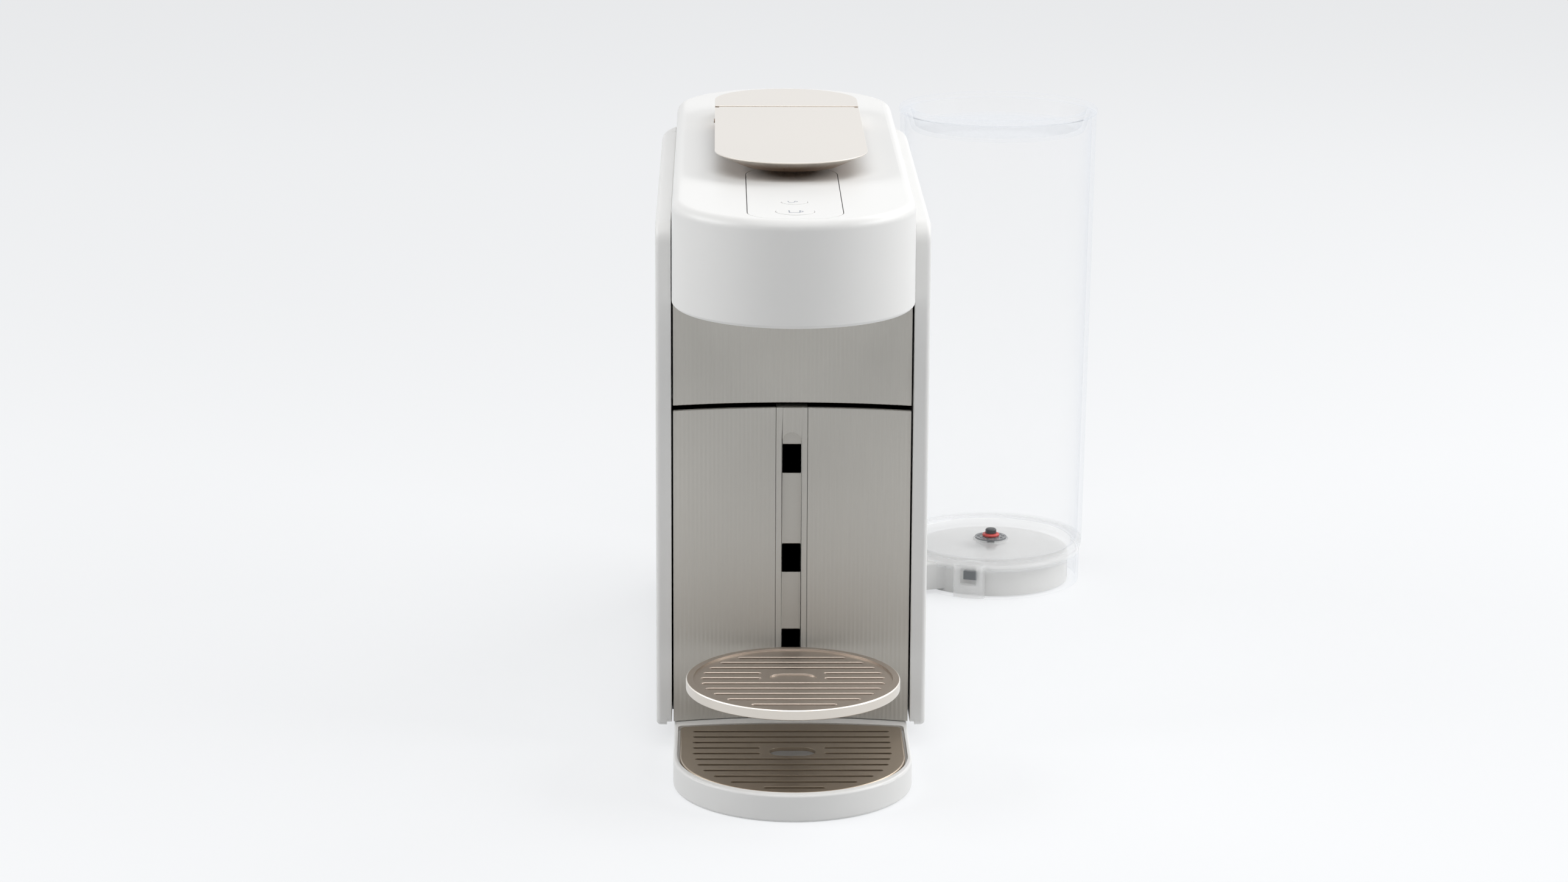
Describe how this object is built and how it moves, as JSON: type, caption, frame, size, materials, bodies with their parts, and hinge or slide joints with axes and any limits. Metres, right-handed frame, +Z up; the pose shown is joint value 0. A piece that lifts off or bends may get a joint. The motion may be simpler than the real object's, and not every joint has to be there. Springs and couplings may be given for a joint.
{
  "type": "pod coffee machine",
  "caption": "Slim pod coffee machine: round-ended head with hinged lid, ribbed concave front with hook rail, hanging cup support, drip tray and clear water tank on a swinging arm.",
  "frame": {"origin": "centre of the base on the table, midway between the side panels and along their depth", "axes": "+X to the machine's right as the user in front sees it, +Y to its back, +Z up"},
  "size_m": [0.2184, 0.4332, 0.262],
  "materials": {
    "white_plastic": "satin warm white",
    "grey_ribbed_plastic": "satin light warm grey",
    "champagne_metal": "satin champagne metallic coat",
    "taupe_metal": "satin taupe metallic coat",
    "clear_plastic": "clear",
    "dark_plastic": "dark grey moulded",
    "chassis_plastic": "grey structural plastic",
    "black_rubber": "black rubber",
    "red_rubber": "red silicone",
    "hose_rubber": "translucent silicone",
    "steel": "brushed",
    "cast_aluminium": "cast",
    "board": "circuit board"
  },
  "bodies": {
    "machine": {"base_plate": "chassis_plastic", "foot_ring": "black_rubber", "pivot_foot": "black_rubber", "left_panel": "white_plastic", "right_panel": "white_plastic", "left_cheek": "white_plastic", "right_cheek": "white_plastic", "rear_cover": "white_plastic", "cord_gland": "dark_plastic", "inner_frame": "chassis_plastic", "upper_front": "grey_ribbed_plastic", "head_housing": "white_plastic", "head_floor": "white_plastic", "coffee_outlet": "dark_plastic", "coffee_duct": "chassis_plastic", "button_panel": "white_plastic", "key_board": "board", "indicator_lens": "white_plastic", "hinge_bracket": "chassis_plastic", "rear_cap": "champagne_metal", "brew_chamber": "dark_plastic", "spin_motor": "cast_aluminium", "water_pump": "dark_plastic", "heater": "cast_aluminium", "hot_hose": "hose_rubber", "inlet_hose": "hose_rubber", "control_board": "board"},
    "lid": {"lid_cover": "champagne_metal", "lid_plug": "dark_plastic", "hinge_pins": "steel"},
    "large_key_body": {"large_key": "white_plastic"},
    "small_key_body": {"small_key": "white_plastic"},
    "pod_rotor": {"pod_holder": "steel"},
    "container": {"container_front": "grey_ribbed_plastic", "hook_rail": "grey_ribbed_plastic", "container_bin": "dark_plastic"},
    "cup_support": {"cup_disc": "champagne_metal", "cup_bracket": "dark_plastic"},
    "tray": {"drip_tray": "white_plastic"},
    "grid": {"drip_grid": "taupe_metal"},
    "swing_arm": {"tank_arm": "white_plastic", "arm_glides": "black_rubber", "tank_catch": "dark_plastic"},
    "tank": {"water_tank": "clear_plastic", "valve_ring": "dark_plastic", "valve_seal": "red_rubber"},
    "tank_cover": {"tank_lid": "clear_plastic"},
    "plunger": {"valve_plunger": "dark_plastic"}
  },
  "joints": [
    {"name": "lid_hinge", "type": "hinge", "parent": "machine", "child": "lid", "pos_m": [0, 0.0584, 0.2556], "axis": [-1, 0, 0], "range_deg": [0, 68]},
    {"name": "large_key_press", "type": "slide", "parent": "machine", "child": "large_key_body", "axis": [0, 0, -1], "range_m": [0, 0.0008], "stiffness_N_per_m": 400},
    {"name": "small_key_press", "type": "slide", "parent": "machine", "child": "small_key_body", "axis": [0, 0, -1], "range_m": [0, 0.0008], "stiffness_N_per_m": 400},
    {"name": "pod_spin", "type": "hinge", "parent": "machine", "child": "pod_rotor", "pos_m": [0, 0, 0.205], "axis": [0, 0, 1], "continuous": true},
    {"name": "container_slide", "type": "slide", "parent": "machine", "child": "container", "axis": [0, -1, 0], "range_m": [0, 0.15]},
    {"name": "cup_support_lift", "type": "slide", "parent": "container", "child": "cup_support", "axis": [0, 0, 1], "range_m": [0, 0.005]},
    {"name": "tray_slide", "type": "slide", "parent": "machine", "child": "tray", "axis": [0, -1, 0], "range_m": [0, 0.2]},
    {"name": "grid_lift", "type": "slide", "parent": "tray", "child": "grid", "axis": [0, 0, 1], "range_m": [0, 0.023]},
    {"name": "arm_swing", "type": "hinge", "parent": "machine", "child": "swing_arm", "pos_m": [0, 0.13, 0], "axis": [0, 0, 1], "range_deg": [-15, 159]},
    {"name": "tank_lift", "type": "slide", "parent": "swing_arm", "child": "tank", "axis": [0, 0, 1], "range_m": [0, 0.04]},
    {"name": "tank_lid_lift", "type": "slide", "parent": "tank", "child": "tank_cover", "axis": [0, 0, 1], "range_m": [0, 0.02]},
    {"name": "plunger_press", "type": "slide", "parent": "tank", "child": "plunger", "axis": [0, 0, 1], "range_m": [0, 0.002], "stiffness_N_per_m": 200}
  ]
}
